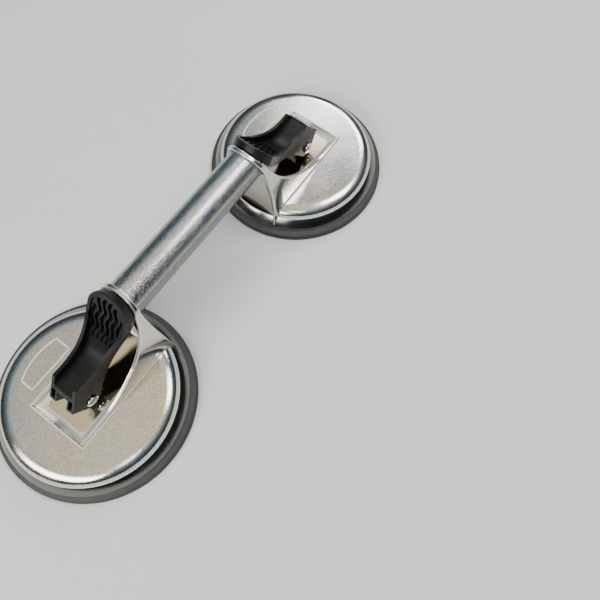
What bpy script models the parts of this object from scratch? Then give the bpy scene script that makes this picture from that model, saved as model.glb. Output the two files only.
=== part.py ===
"""A two-cup vacuum lifter: a tube handle between two rubber suction cups, each pulled up by a cam lever.

Sizes are in millimetres and are turned into metres when a mesh is made. One cup is described in its own
coordinates: u runs outwards from the cup's centre, away from the other cup; v is the world Y; z is up.
The cup on the -X side, named a, is the mirror image of the cup on the +X side, named b.
"""

import math

import bmesh
import bpy
from mathutils import Vector

MM = 0.001

# Driving dimensions
CUP_HALF_DISTANCE = 100.0
PAD_RADIUS = 59.0
TUBE_RADIUS, TUBE_BORE, TUBE_HEIGHT, TUBE_HALF_LENGTH = 10.45, 9.0, 58.2, 53.8
TUBE_MITRE_Z, TUBE_MITRE_SLOPE = 56.0, 0.25
SHEET = 1.3
GAP = 0.3
TOP_Z = 18.8
FLAT_RADIUS = 41.5
CREASE_RADIUS, CREASE_Z = 50.2, 13.3
RIM_RADIUS, RIM_Z = 55.1, 7.6
SLOT_HALF_WIDTH, SLOT_OUTER = 19.5, 23.5
PLATE_RADIUS, PLATE_LOW, PLATE_TOP = 44.0, 15.1, 16.6
PIN_U, PIN_Z, PIN_RADIUS = 1.0, 25.0, 2.5
PRONG_INNER, PRONG_OUTER = 3.7, 8.2
STEM_HALF_WIDTH, STEM_HALF_THICKNESS, STEM_TOP_RADIUS = 5.8, 3.3, 5.8
PAD_PLATE_LOW, PAD_PLATE_TOP, PAD_PLATE_RADIUS = 5.6, 7.2, 24.0
WASHER_TOP, WASHER_RADIUS = 8.1, 22.5
SPRING_WIRE, SPRING_TURNS = 0.6, 3.0
SPRING_LOW_RADIUS, SPRING_HIGH_RADIUS = 19.5, 11.0
NECK_REACH = -54.0
NECK_BACK_WALL, NECK_RECESS = -44.0, -45.6
NECK_HALF_WIDTH, NECK_SHOULDER_Z = 19.2, 25.0
ARCH_RADIUS, ARCH_Z = 13.6, 56.6
RIM_ARC_RADIUS, RIM_ARC_U, RIM_ARC_Z = 56.0, 6.5, 79.0
LEVER_ANGLE = math.radians(43.5)
LEVER_WALL = 1.9
HEAD_CENTER, HEAD_RADIUS = 54.4, 12.6
ROUND_STEPS = 64


def clear_scene():
    for obj in list(bpy.data.objects):
        bpy.data.objects.remove(obj, do_unlink=True)


def material(name, color, roughness, metallic):
    found = bpy.data.materials.get(name)
    if found:
        return found
    made = bpy.data.materials.new(name)
    made.use_nodes = True
    shader = made.node_tree.nodes["Principled BSDF"]
    shader.inputs["Base Color"].default_value = (*color, 1.0)
    shader.inputs["Roughness"].default_value = roughness
    shader.inputs["Metallic"].default_value = metallic
    made.diffuse_color = (*color, 1.0)
    return made


def plated_steel():
    return material("plated_steel", (0.78, 0.78, 0.76), 0.16, 1.0)


def black_rubber():
    return material("black_rubber", (0.03, 0.03, 0.032), 0.75, 0.0)


def black_plastic():
    return material("black_plastic", (0.015, 0.015, 0.017), 0.35, 0.0)


def spring_steel():
    return material("spring_steel", (0.5, 0.5, 0.52), 0.3, 1.0)


def local_to_world(side, u, v, z):
    return Vector((side * (CUP_HALF_DISTANCE + u), v, z)) * MM


def node_from(bm, name, look, origin=(0.0, 0.0, 0.0)):
    """An object named name, with the bmesh's points in world metres, and its own origin where it is given."""
    bmesh.ops.remove_doubles(bm, verts=bm.verts, dist=1e-6)
    bmesh.ops.recalc_face_normals(bm, faces=bm.faces)
    shift = Vector(origin)
    for vert in bm.verts:
        vert.co -= shift
    mesh = bpy.data.meshes.new(name)
    bm.to_mesh(mesh)
    bm.free()
    mesh.materials.append(look)
    mesh.shade_smooth()
    mesh.set_sharp_from_angle(angle=math.radians(30))
    obj = bpy.data.objects.new(name, mesh)
    obj.location = shift
    bpy.context.scene.collection.objects.link(obj)
    return obj


def cutter_from(bm, name):
    obj = node_from(bm, name, plated_steel())
    obj.hide_render = True
    obj.display_type = "WIRE"
    return obj


def boolean(obj, cutter, operation="DIFFERENCE"):
    modifier = obj.modifiers.new(operation.lower() + "_" + cutter.name, "BOOLEAN")
    modifier.operation = operation
    modifier.object = cutter


def bridge_rings(bm, rings, ends_closed=True):
    """Joins rings of points, each with as many points as the next, into one skin with flat end caps."""
    made = [[bm.verts.new(point) for point in ring] for ring in rings]
    count = len(made[0])
    for lower, upper in zip(made, made[1:]):
        for i in range(count):
            j = (i + 1) % count
            bm.faces.new((lower[i], lower[j], upper[j], upper[i]))
    if ends_closed:
        bm.faces.new(made[0])
        bm.faces.new(made[-1])


def revolved(side, profile, center_u=0.0, steps=ROUND_STEPS):
    """A closed (radius, z) outline turned about a vertical axis through the cup."""
    bm = bmesh.new()
    rings = []
    for radius, z in profile:
        if radius < 1e-6:
            rings.append([bm.verts.new(local_to_world(side, center_u, 0.0, z))])
            continue
        ring = []
        for i in range(steps):
            turn = 2 * math.pi * i / steps
            u = center_u + radius * math.cos(turn)
            ring.append(bm.verts.new(local_to_world(side, u, radius * math.sin(turn), z)))
        rings.append(ring)
    for first, second in zip(rings, rings[1:] + rings[:1]):
        if len(first) == 1 and len(second) == 1:
            continue
        for i in range(steps):
            j = (i + 1) % steps
            if len(first) == 1:
                bm.faces.new((first[0], second[j], second[i]))
            elif len(second) == 1:
                bm.faces.new((first[i], first[j], second[0]))
            else:
                bm.faces.new((first[i], first[j], second[j], second[i]))
    return bm


def prism(side, outline, along, low, high):
    """An outline extruded along one cup axis. Its pairs are the two other axes, in u, v, z order."""
    order = {
        "u": lambda a, b, t: (t, a, b),
        "v": lambda a, b, t: (a, t, b),
        "z": lambda a, b, t: (a, b, t),
    }
    bm = bmesh.new()
    rings = [[local_to_world(side, *order[along](a, b, t)) for a, b in outline] for t in (low, high)]
    bridge_rings(bm, rings)
    return bm


def arc(center, radius, start, end, steps):
    """Points on a circle, from the start angle to the end angle, in degrees."""
    points = []
    for i in range(steps + 1):
        turn = math.radians(start + (end - start) * i / steps)
        points.append((center[0] + radius * math.cos(turn), center[1] + radius * math.sin(turn)))
    return points


# The handle and its two housings


def tube_end(z):
    """How far the tube reaches from the middle at a height: less near its top, to lean with the collar."""
    return TUBE_HALF_LENGTH - TUBE_MITRE_SLOPE * max(0.0, z - TUBE_MITRE_Z)


def make_handle_tube():
    bm = bmesh.new()
    steps = 40
    rings = []
    outline = ((-1, TUBE_RADIUS), (1, TUBE_RADIUS), (1, TUBE_BORE), (-1, TUBE_BORE), (-1, TUBE_RADIUS))
    for end, radius in outline:
        ring = arc((0.0, TUBE_HEIGHT), radius, 0, 360 - 360 / steps, steps - 1)
        rings.append([Vector((end * tube_end(z), y, z)) * MM for y, z in ring])
    bridge_rings(bm, rings, ends_closed=False)
    return node_from(bm, "handle_tube", plated_steel())


def neck_half_width(z):
    """Half the width of the lever housing at a height: upright at its foot, then leaning in to the tube."""
    if z <= NECK_SHOULDER_Z:
        return NECK_HALF_WIDTH
    return NECK_HALF_WIDTH - 5.2 * ((z - NECK_SHOULDER_Z) / 33.2) ** 1.6


def housing_section(inset, low):
    """The A-shaped section of the housing, with an arch over the tube."""
    heights = [low, NECK_SHOULDER_Z, 30.0, 36.0, 42.0, 48.0, 54.0]
    right = [(neck_half_width(z) - inset, z) for z in heights]
    arch = arc((0.0, ARCH_Z), ARCH_RADIUS - inset, 15, 165, 14)
    return right + arch + [(-v, z) for v, z in reversed(right)]


def rim_outline():
    """Everything above the housing's open rim, seen from the side as (u, z). It leans over the tube's end."""
    curve = arc((RIM_ARC_U, RIM_ARC_Z), RIM_ARC_RADIUS, 236.2, 204.0, 10)
    low_rim = [(26.0, TOP_Z + 0.1), (12.0, TOP_Z + 0.5), (2.0, TOP_Z + 1.2), (-5.0, 22.0), (-12.0, 25.2)]
    return [(26.0, 90.0)] + low_rim + curve + [(-50.3, 71.5), (-50.3, 90.0)]


def neck_end_outline():
    """Everything beyond the neck's end, seen from the side as (u, z)."""
    end = [(-50.6, 8.0), (-49.2, 20.0), (-48.5, 34.0), (-48.2, 48.0)]
    end += [(-48.3, 57.0), (-49.9, 63.5), (-52.3, 72.0)]
    return [(-70.0, 8.0)] + end + [(-70.0, 72.0)]


def housing_cavity(side):
    """The well inside the housing. Its back corners are round, and its front rises as a short ramp."""
    levels = [8.0, PLATE_TOP + GAP, TOP_Z, 25.0, 30.0, 36.0, 42.0, 48.0, 54.0, 60.0]
    rings = []
    for z in levels:
        half = neck_half_width(z) - SHEET
        front = 19.5 if z <= PLATE_TOP + GAP else 22.6
        corner = min(8.0, half - 0.5)
        back = arc((NECK_BACK_WALL + corner, half - corner), corner, 90, 180, 6)
        back += arc((NECK_BACK_WALL + corner, corner - half), corner, 180, 270, 6)
        plan = [(front, -half), (front, half)] + back
        rings.append([local_to_world(side, u, v, z) for u, v in plan])
    bm = bmesh.new()
    bridge_rings(bm, rings)
    return bm


def strip_width(z):
    """Width of the tapered strip between the neck's edge and its end panel."""
    return 1.2 + 3.4 * (z - 11.0) / 35.0


def neck_recess_outline(inset, low, high):
    heights = [low, 18.0, NECK_SHOULDER_Z, 32.0, 39.0, high]
    right = [(neck_half_width(z) - strip_width(max(z, 11.0)) - inset, z) for z in heights]
    return right + [(-v, z) for v, z in reversed(right)]


def under_cover_outline():
    """The space that the bearing plate and the cover's flange take from the housing."""
    plate_edge = PLATE_RADIUS + 0.4
    return [
        (0.0, 0.0),
        (PAD_RADIUS + 3, 0.0),
        (PAD_RADIUS + 3, RIM_Z),
        (RIM_RADIUS + 0.5, RIM_Z + 0.1),
        (CREASE_RADIUS + 0.25, CREASE_Z + 0.45),
        (CREASE_RADIUS - 0.1, CREASE_Z + 0.45),
        (CREASE_RADIUS - 0.1, 11.0),
        (plate_edge, 11.0),
        (plate_edge, PLATE_TOP + GAP),
        (0.0, PLATE_TOP + GAP),
    ]


def make_lever_housing(side, tag):
    body = prism(side, housing_section(0.0, 11.5), "u", NECK_REACH, SLOT_OUTER - GAP)
    housing = node_from(body, "lever_housing_" + tag, plated_steel())
    ring = arc((0.0, TUBE_HEIGHT), TUBE_RADIUS + GAP, 0, 351, 39)
    bore = prism(side, ring, "u", NECK_REACH - 2, NECK_RECESS)
    recess = prism(side, neck_recess_outline(0.0, 9.0, 46.4), "u", NECK_REACH - 2, NECK_RECESS)
    cutters = (
        (prism(side, rim_outline(), "v", -40, 40), "above_rim_"),
        (prism(side, neck_end_outline(), "v", -40, 40), "beyond_end_"),
        (housing_cavity(side), "well_"),
        (revolved(side, under_cover_outline()), "under_cover_"),
        (recess, "neck_recess_"),
        (bore, "tube_socket_"),
    )
    for bm, name in cutters:
        boolean(housing, cutter_from(bm, name + tag))
    return housing


def make_neck_end_panel(side, tag):
    outline = neck_recess_outline(GAP, 11.9, 46.4 - GAP)
    outline[0] = (16.3, 11.9)
    outline[-1] = (-16.3, 11.9)
    bm = prism(side, outline, "u", NECK_RECESS - GAP - 1.5, NECK_RECESS - GAP)
    return node_from(bm, "neck_end_panel_" + tag, plated_steel())


# The cover, the bearing plate and the rubber pad


def cover_outline():
    """The pressed cover's (radius, z) outline: flat top, round shoulder, crease and sloping flange."""
    outer = [(0.0, TOP_Z)]
    inner = [(0.0, TOP_Z - SHEET)]
    for i in range(9):
        turn = math.radians(90 * i / 8)
        reach = FLAT_RADIUS + (CREASE_RADIUS - FLAT_RADIUS) * math.sin(turn)
        outer.append((reach, CREASE_Z + 5.5 * math.cos(turn)))
        inner.append((FLAT_RADIUS + 7.7 * math.sin(turn), CREASE_Z - 0.85 + 5.05 * math.cos(turn)))
    outer += [(CREASE_RADIUS + 0.3, CREASE_Z - 0.3), (RIM_RADIUS, RIM_Z)]
    inner.append((RIM_RADIUS - 1.0, RIM_Z - 0.85))
    return inner + outer[::-1]


def make_cup_cover(side, tag):
    cover = node_from(revolved(side, cover_outline()), "cup_cover_" + tag, plated_steel())
    reach = CREASE_RADIUS + 0.2
    end = math.degrees(math.asin(SLOT_HALF_WIDTH / reach))
    plan = [(SLOT_OUTER, -SLOT_HALF_WIDTH), (SLOT_OUTER, SLOT_HALF_WIDTH)]
    plan += arc((0.0, 0.0), reach, 180 - end, 180 + end, 12)
    boolean(cover, cutter_from(prism(side, plan, "z", 2.0, 30.0), "cover_slot_" + tag))
    return cover


def make_bearing_plate(side, tag):
    outline = [(0.0, PLATE_LOW), (PLATE_RADIUS, PLATE_LOW), (PLATE_RADIUS, PLATE_TOP), (0.0, PLATE_TOP)]
    plate = node_from(revolved(side, outline), "bearing_plate_" + tag, plated_steel())
    half_u, half_v = STEM_HALF_WIDTH + 0.7, STEM_HALF_THICKNESS + 0.6
    slot = [(PIN_U - half_u, -half_v), (PIN_U + half_u, -half_v)]
    slot += [(PIN_U + half_u, half_v), (PIN_U - half_u, half_v)]
    boolean(plate, cutter_from(prism(side, slot, "z", PLATE_LOW - 2, PLATE_TOP + 2), "stem_slot_" + tag))
    return plate


def make_rubber_pad(side, tag):
    """The pad rests on a flat lip. Its middle is thin round the moulded plate, so that it can be drawn up."""
    outline = [
        (0.0, 2.2),
        (40.0, 2.0),
        (50.0, 1.4),
        (54.0, 0.5),
        (55.5, 0.0),
        (PAD_RADIUS, 0.0),
        (58.9, 2.2),
        (58.4, 4.3),
        (55.4, 5.7),
        (53.0, 5.9),
        (51.0, 3.6),
        (38.0, 4.2),
        (28.0, 5.3),
        (0.0, 5.3),
    ]
    return node_from(revolved(side, outline), "rubber_pad_" + tag, black_rubber())


# What the lever pulls up: plate, washer, stem and pin, and the spring that pushes them down


def make_pad_plate(side, tag):
    outline = [(0.0, PAD_PLATE_LOW), (PAD_PLATE_RADIUS, PAD_PLATE_LOW), (PAD_PLATE_RADIUS, PAD_PLATE_TOP)]
    outline.append((0.0, PAD_PLATE_TOP))
    return node_from(revolved(side, outline, steps=48), "pad_plate_" + tag, spring_steel())


def make_spring_washer(side, tag):
    low = PAD_PLATE_TOP + GAP
    outline = [(9.0, low), (WASHER_RADIUS, low), (WASHER_RADIUS, WASHER_TOP), (9.0, WASHER_TOP)]
    return node_from(revolved(side, outline, steps=40), "spring_washer_" + tag, spring_steel())


def make_stem(side, tag):
    outline = arc((PIN_U, PIN_Z), STEM_TOP_RADIUS, 0, 180, 14)
    foot_z = PAD_PLATE_TOP + GAP
    outline += [(PIN_U - STEM_HALF_WIDTH, foot_z), (PIN_U + STEM_HALF_WIDTH, foot_z)]
    bm = prism(side, outline, "v", -STEM_HALF_THICKNESS, STEM_HALF_THICKNESS)
    stem = node_from(bm, "stem_" + tag, spring_steel())
    hole = prism(side, arc((PIN_U, PIN_Z), PIN_RADIUS + 0.15, 0, 345, 23), "v", -8, 8)
    boolean(stem, cutter_from(hole, "stem_hole_" + tag))
    return stem


def turned_across(side, outline, steps=24):
    """A (radius, v) outline turned about the pin's axis, from one end of the pin to the other."""
    bm = bmesh.new()
    rings = []
    for radius, v in outline:
        ring = arc((PIN_U, PIN_Z), radius, 0, 360 - 360 / steps, steps - 1)
        rings.append([local_to_world(side, u, v, z) for u, z in ring])
    bridge_rings(bm, rings)
    return bm


def make_pivot_pin(side, tag):
    outline = [(2.6, -10.1), (3.6, -9.7), (3.6, -8.6), (PIN_RADIUS, -8.6), (PIN_RADIUS, 8.6)]
    outline += [(1.9, 8.6), (1.9, 9.5), (PIN_RADIUS, 9.5), (PIN_RADIUS, 10.0), (2.1, 10.4)]
    return node_from(turned_across(side, outline), "pivot_pin_" + tag, spring_steel())


def make_pin_clip(side, tag):
    """A snap ring in the pin's groove, open at one side."""
    outline = arc((PIN_U, PIN_Z), 4.0, -60, 240, 20) + arc((PIN_U, PIN_Z), 2.1, 240, -60, 20)
    return node_from(prism(side, outline, "v", 8.75, 9.35), "pin_clip_" + tag, spring_steel())


def make_return_spring(side, tag):
    """A conical coil: wide on the washer, narrow under the bearing plate, so that it can close flat."""
    low, high = WASHER_TOP + GAP + SPRING_WIRE, PLATE_LOW - GAP - SPRING_WIRE
    steps = int(SPRING_TURNS * 20)
    bm = bmesh.new()
    rings = []
    for i in range(steps + 1):
        part = i / steps
        turn = 2 * math.pi * SPRING_TURNS * part
        radius = SPRING_LOW_RADIUS + (SPRING_HIGH_RADIUS - SPRING_LOW_RADIUS) * part
        z = low + (high - low) * part
        ring = []
        for k in range(6):
            around = 2 * math.pi * k / 6
            reach = radius + SPRING_WIRE * math.cos(around)
            point = (reach * math.cos(turn), reach * math.sin(turn), z + SPRING_WIRE * math.sin(around))
            ring.append(local_to_world(side, *point))
        rings.append(ring)
    bridge_rings(bm, rings)
    return node_from(bm, "return_spring_" + tag, spring_steel())


# The cam lever


def along_lever(side, s, v, t):
    """A point at s along the lever from the pin, and t square to it, towards the thumb side."""
    u = PIN_U - s * math.cos(LEVER_ANGLE) + t * math.sin(LEVER_ANGLE)
    z = PIN_Z + s * math.sin(LEVER_ANGLE) + t * math.cos(LEVER_ANGLE)
    return local_to_world(side, u, v, z)


def lever_plan(inset, back):
    """Half outline of the lever seen square to its length: straight prongs that widen into a round head."""
    sides = [(back, PRONG_OUTER), (22.0, PRONG_OUTER), (30.0, 8.8), (38.0, 10.3), (44.0, 11.8), (49.0, 12.4)]
    plan = [(s, v - inset) for s, v in sides]
    plan += arc((HEAD_CENTER, 0.0), HEAD_RADIUS - inset, 84, 0, 8)
    return plan + [(s, -v) for s, v in reversed(plan[:-1])]


def lever_plan_prism(side, inset, back):
    bm = bmesh.new()
    plan = lever_plan(inset, back)
    bridge_rings(bm, [[along_lever(side, s, v, t) for s, v in plan] for t in (-45.0, 60.0)])
    return bm


END_TIP, END_CORNER = (11.6, 32.3), (0.6, 46.5)
THUMB_ARC, THUMB_RADIUS = (-5.5, 86.75), 40.7


def lever_side():
    """The lever's side outline: slanted end face, long thumb curve, round tip, back, and pin boss."""
    thumb = arc(THUMB_ARC, THUMB_RADIUS, 278.6, 233.0, 9)
    tip = [(-40.2, 65.2), (-44.4, 71.0), (-46.0, 72.6), (-47.6, 73.0), (-48.7, 72.0)]
    back = [(-48.6, 70.4), (-47.4, 66.6), (-45.4, 61.8), (-42.4, 57.4)]
    back += [(-36.0, 51.8), (-28.5, 45.2), (-14.0, 33.2)]
    boss = arc((PIN_U, PIN_Z), 6.5, 228, 350, 10)
    return [END_TIP, END_CORNER] + thumb[1:] + tip + back + boss


def lever_channel():
    """The hollow between the lever's side walls, over its web and the bowl of its head."""
    bowl = [(8.0, 41.0), (-14.0, 41.0), (-20.0, 42.9), (-26.0, 47.3), (-31.6, 52.5), (-36.0, 57.9)]
    bowl += [(-40.75, 64.8), (-43.0, 68.2), (-44.5, 71.0), (-45.0, 74.0), (-45.0, 90.0)]
    return bowl + [(8.0, 90.0)]


def stem_space():
    """What the stem sweeps between the prongs as the lever turns."""
    return [(-5.9, 8.0), (-5.9, 25.0)] + arc((PIN_U, PIN_Z), 6.9, 172, 127.5, 4) + [(20.0, 47.9), (20.0, 8.0)]


def end_pocket(side, sign):
    """The hollow in the end face of one prong, in line with the end face."""
    slope = math.atan2(END_CORNER[1] - END_TIP[1], END_CORNER[0] - END_TIP[0])
    bm = bmesh.new()
    rings = []
    for depth in (-3.0, 3.0):
        ring = []
        for run, v in ((1.6, 4.9), (8.6, 4.9), (8.6, 7.5), (1.6, 7.5)):
            u = END_TIP[0] + run * math.cos(slope) - depth * math.sin(slope)
            z = END_TIP[1] + run * math.sin(slope) + depth * math.cos(slope)
            ring.append(local_to_world(side, u, sign * v, z))
        rings.append(ring)
    bridge_rings(bm, rings)
    return bm


def make_lever(side, tag):
    origin = local_to_world(side, PIN_U, 0.0, PIN_Z)
    lever = node_from(prism(side, lever_side(), "v", -16, 16), "lever_" + tag, black_plastic(), origin)
    boolean(lever, cutter_from(lever_plan_prism(side, 0.0, -14.0), "lever_plan_" + tag), "INTERSECT")
    channel = cutter_from(prism(side, lever_channel(), "v", -16, 16), "lever_channel_" + tag)
    inner = cutter_from(lever_plan_prism(side, LEVER_WALL, -18.0), "lever_inner_plan_" + tag)
    boolean(channel, inner, "INTERSECT")
    boolean(lever, channel)
    space = prism(side, stem_space(), "v", -PRONG_INNER, PRONG_INNER)
    boolean(lever, cutter_from(space, "stem_space_" + tag))
    hole = prism(side, arc((PIN_U, PIN_Z), PIN_RADIUS + GAP, 0, 345, 23), "v", -20, 20)
    boolean(lever, cutter_from(hole, "lever_hole_" + tag))
    for sign, hand in ((-1, "right_"), (1, "left_")):
        boolean(lever, cutter_from(end_pocket(side, sign), "end_pocket_" + hand + tag))
    return lever


def make_cup(side, tag):
    make_cup_cover(side, tag)
    make_lever_housing(side, tag)
    make_neck_end_panel(side, tag)
    make_bearing_plate(side, tag)
    make_rubber_pad(side, tag)
    make_return_spring(side, tag)
    lift = bpy.data.objects.new("stem_lift_" + tag, None)
    lift.location = local_to_world(side, PIN_U, 0.0, PIN_Z)
    bpy.context.scene.collection.objects.link(lift)
    bpy.context.view_layer.update()
    lifted = (make_pad_plate, make_spring_washer, make_stem, make_pivot_pin, make_pin_clip, make_lever)
    for make in lifted:
        piece = make(side, tag)
        piece.parent = lift
        piece.matrix_parent_inverse = lift.matrix_world.inverted()


clear_scene()
make_handle_tube()
make_cup(-1, "a")
make_cup(1, "b")
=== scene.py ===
"""The looks of the two-cup vacuum lifter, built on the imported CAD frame. Sizes here are in millimetres.

One cup is described in its own coordinates: u outwards from the cup's centre, v along Y, z up.
"""

import math

import bmesh
import bpy
import numpy as np
from mathutils import Matrix, Vector


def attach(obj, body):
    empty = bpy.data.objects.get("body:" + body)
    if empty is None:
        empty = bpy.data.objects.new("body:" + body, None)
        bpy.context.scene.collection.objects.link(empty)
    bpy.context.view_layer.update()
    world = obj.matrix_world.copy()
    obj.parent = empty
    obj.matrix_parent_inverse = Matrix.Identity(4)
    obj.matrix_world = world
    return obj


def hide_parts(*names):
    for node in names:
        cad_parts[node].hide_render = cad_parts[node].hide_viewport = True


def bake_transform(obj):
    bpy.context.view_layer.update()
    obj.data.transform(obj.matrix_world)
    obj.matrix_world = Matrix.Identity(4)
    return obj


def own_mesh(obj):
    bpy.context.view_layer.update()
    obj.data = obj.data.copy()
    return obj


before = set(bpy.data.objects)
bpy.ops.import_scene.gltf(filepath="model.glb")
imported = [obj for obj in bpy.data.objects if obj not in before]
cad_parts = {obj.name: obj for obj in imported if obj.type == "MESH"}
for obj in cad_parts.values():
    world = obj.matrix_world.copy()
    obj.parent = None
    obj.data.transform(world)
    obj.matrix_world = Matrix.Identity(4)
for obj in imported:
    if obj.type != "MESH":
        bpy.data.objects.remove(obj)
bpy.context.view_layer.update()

MM = 0.001
SHEET = 1.3
CUP_HALF = 100.0  # from the tube's middle to a cup's centre

# Cover: flat top, elliptical shoulder, crease, sloping flange, and the housing's slot
TOP_Z = 18.8
FLAT_R, CREASE_R, CREASE_Z, RIM_R, RIM_Z = 41.5, 50.2, 13.3, 55.1, 7.6
SHOULDER_RISE = 5.5
SLOT_V, SLOT_U = 19.5, 23.5

# Tube: its ends are cut back above MITRE_Z
TUBE_R, TUBE_Z, TUBE_HALF, TUBE_WALL, TUBE_CHAMFER = 10.45, 58.2, 53.8, 1.45, 0.3
MITRE_Z, MITRE_SLOPE = 56.0, 0.25

# Lever housing: half its width at the foot, where it starts to lean in and by how much, collar, well,
# the gap for the end panel, the roll of its rim, the rows of its mesh and the fillet round the well's floor
NECK_HALF, NECK_LEAN_Z, NECK_LEAN, NECK_LEAN_RISE = 19.2, 25.0, 5.2, 33.2
COLLAR_R, COLLAR_Z, COLLAR_BORE_R = 13.6, 56.6, 10.62
FOOT_Z, FLOOR_Z, WELL_CORNER_U, WELL_CORNER_R = 16.9, 16.7, -36.0, 8.0
PANEL_TOP_Z, PANEL_HALF = 46.3, 11.9
RIM_ROLL = 1.05
OUTSIDE_ROWS, ROLL_ROWS, INSIDE_ROWS = 19, 13, 19
FILLET_FOOT_Z, FILLET_RISE, FILLET_EXTRA_RISE = 16.58, 1.95, 1.5

# Rubber pad
LIP_INNER_R, SKIN_LOW_Z, SKIN_RISE, SKIN_RISE_REACH, SKIN_THICKNESS = 52.3, 1.35, 1.9, 30.0, 1.9

# Stem, pin and spring
STEM_HALF_WIDTH, STEM_HALF_THICKNESS = 5.8, 3.3
PIN_U, PIN_Z, PIN_R = 1.0, 25.0, 2.5
SPRING_TURNS, SPRING_WIRE_R = 3.75, 0.6

# Lever: tilt at rest, half width of its beam, and the round head's centre along the lever and radius
LEVER_TILT = math.radians(43.5)
LEVER_HALF, LEVER_WALL, LEVER_WEB_Z = 8.2, 1.9, 41.0
HEAD_S, HEAD_R = 54.4, 12.6
GROOVE_PLACES = (-8.9, -5.35, -1.8, 1.8, 5.35, 8.9)
GROOVE_DEPTH, GROOVE_HALF_WIDTH, GROOVE_WAVE, GROOVE_WAVE_STEPS, GROOVE_END_R = 2.6, 1.2, 0.95, 34, 9.0


# Materials


def node_tree(name):
    """A new material, its node tree and its shader."""
    mat = bpy.data.materials.new(name)
    mat.use_nodes = True
    return mat, mat.node_tree, mat.node_tree.nodes["Principled BSDF"]


def add(tree, kind, **settings):
    node = tree.nodes.new(kind)
    for key, value in settings.items():
        setattr(node, key, value)
    return node


def noise(tree, coords, scale, detail=3.0, rough=0.5, stretch=None):
    node = add(tree, "ShaderNodeTexNoise")
    node.inputs["Scale"].default_value = scale
    node.inputs["Detail"].default_value = detail
    node.inputs["Roughness"].default_value = rough
    if stretch:
        mapping = add(tree, "ShaderNodeMapping")
        mapping.inputs["Scale"].default_value = stretch
        tree.links.new(coords, mapping.inputs["Vector"])
        coords = mapping.outputs["Vector"]
    tree.links.new(coords, node.inputs["Vector"])
    return node.outputs["Fac"]


def ramp(tree, value, stops):
    """A colour ramp of (place, color) stops. A color is three numbers, or one for a grey."""
    node = add(tree, "ShaderNodeValToRGB")
    elements = node.color_ramp.elements
    while len(elements) < len(stops):
        elements.new(0.5)
    for element, (place, color) in zip(elements, stops):
        element.position = place
        element.color = (*color, 1.0) if len(color) == 3 else (color[0], color[0], color[0], 1.0)
    tree.links.new(value, node.inputs["Fac"])
    return node.outputs["Color"]


def blend_colors(tree, factor, first, second, mode="MIX"):
    node = add(tree, "ShaderNodeMix", data_type="RGBA", blend_type=mode)
    if isinstance(factor, float):
        node.inputs[0].default_value = factor
    else:
        tree.links.new(factor, node.inputs[0])
    for socket, value in ((node.inputs[6], first), (node.inputs[7], second)):
        if isinstance(value, tuple):
            socket.default_value = (*value, 1.0)
        else:
            tree.links.new(value, socket)
    return node.outputs[2]


def bump(tree, height, strength, distance, before=None):
    node = add(tree, "ShaderNodeBump")
    node.inputs["Strength"].default_value = strength
    node.inputs["Distance"].default_value = distance
    tree.links.new(height, node.inputs["Height"])
    if before:
        tree.links.new(before, node.inputs["Normal"])
    return node.outputs["Normal"]


def map_range(tree, value, from_min, from_max, to_min=0.0, to_max=1.0):
    node = add(tree, "ShaderNodeMapRange")
    node.inputs["From Min"].default_value = from_min
    node.inputs["From Max"].default_value = from_max
    node.inputs["To Min"].default_value = to_min
    node.inputs["To Max"].default_value = to_max
    tree.links.new(value, node.inputs["Value"])
    return node.outputs["Result"]


def plated_steel(name, tint, low, high, speckle, glint, grain=1900.0, painted_dark_below_z=None):
    """Bright plated sheet: fine speckle, faint rainbow tints, light scratches and a slightly wavy surface.

    Its roughness goes from low to high. Below the height given last, in metres, its colour fades to a dark
    grey, a painted dark reflection.
    """
    mat, tree, shader = node_tree(name)
    coords = add(tree, "ShaderNodeTexCoord").outputs["Object"]
    fine = noise(tree, coords, grain, 1.5, 0.55)
    cloud = noise(tree, coords, 55.0, 3.0, 0.5)
    wave = noise(tree, coords, 28.0, 1.0, 0.4)
    scratch = noise(tree, coords, 260.0, 2.0, 0.5, (1.0, 14.0, 1.0))
    rainbow = ramp(tree, noise(tree, coords, 24.0, 1.5, 0.5), [
        (0.30, (0.70, 0.84, 0.94)), (0.42, (0.88, 0.88, 0.88)), (0.50, (0.97, 0.92, 0.72)),
        (0.58, (0.96, 0.80, 0.84)), (0.70, (0.80, 0.90, 0.82)),
    ])
    tinted = blend_colors(tree, 0.6, tint, rainbow, "MULTIPLY")
    specks = ramp(tree, fine, [(0.36, (0.70,)), (0.46, (0.84,)), (0.55, (0.86,)), (0.62, (1.0,))])
    color = blend_colors(tree, speckle, tinted, specks, "MULTIPLY")
    # Painted dark reflection: below the given height the colour fades to a dark grey.
    if painted_dark_below_z:
        height = add(tree, "ShaderNodeSeparateXYZ")
        tree.links.new(coords, height.inputs["Vector"])
        painted_dark_mask = map_range(tree, height.outputs["Z"], painted_dark_below_z, painted_dark_below_z - 0.0008)
        color = blend_colors(tree, painted_dark_mask, color, (0.18, 0.18, 0.175))
    tree.links.new(color, shader.inputs["Base Color"])
    tree.links.new(map_range(tree, cloud, 0.32, 0.68, low, high), shader.inputs["Roughness"])
    shader.inputs["Metallic"].default_value = 1.0
    normal = bump(tree, wave, 0.25, 0.0012)
    normal = bump(tree, scratch, 0.05, 0.0003, normal)
    normal = bump(tree, fine, glint, 0.0001, normal)
    tree.links.new(normal, shader.inputs["Normal"])
    return mat


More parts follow.
